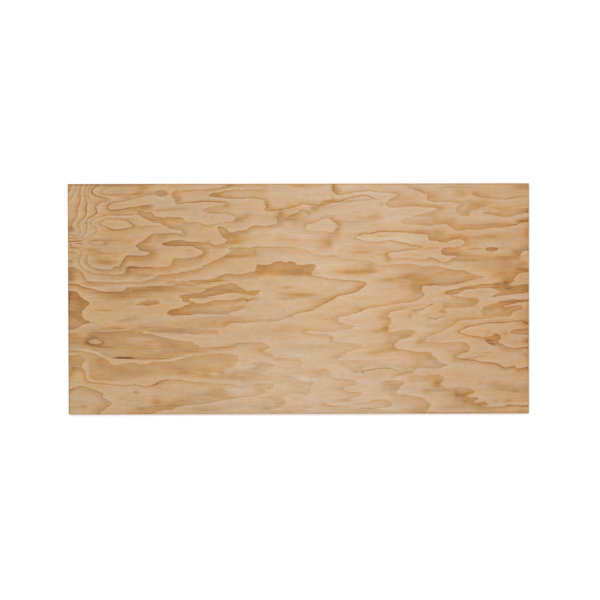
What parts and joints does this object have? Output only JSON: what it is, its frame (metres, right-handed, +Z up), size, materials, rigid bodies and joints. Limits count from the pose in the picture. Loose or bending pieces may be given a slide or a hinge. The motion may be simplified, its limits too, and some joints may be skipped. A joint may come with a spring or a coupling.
{
  "type": "plywood sheet",
  "caption": "Full-size flat plywood sheet, twice as long as it is wide, with square sawn edges and a face of peeled softwood veneer whose grain runs along its length.",
  "frame": {"origin": "middle of the back face, which is the face that the sheet lies on", "axes": "+X along the sheet and the grain of its face, +Y across the sheet, +Z up from the back face to the front face"},
  "size_m": [2.44, 1.22, 0.018],
  "materials": {
    "pine_veneer": "matte"
  },
  "bodies": {
    "root": {"plywood_sheet": "pine_veneer"}
  },
  "joints": []
}
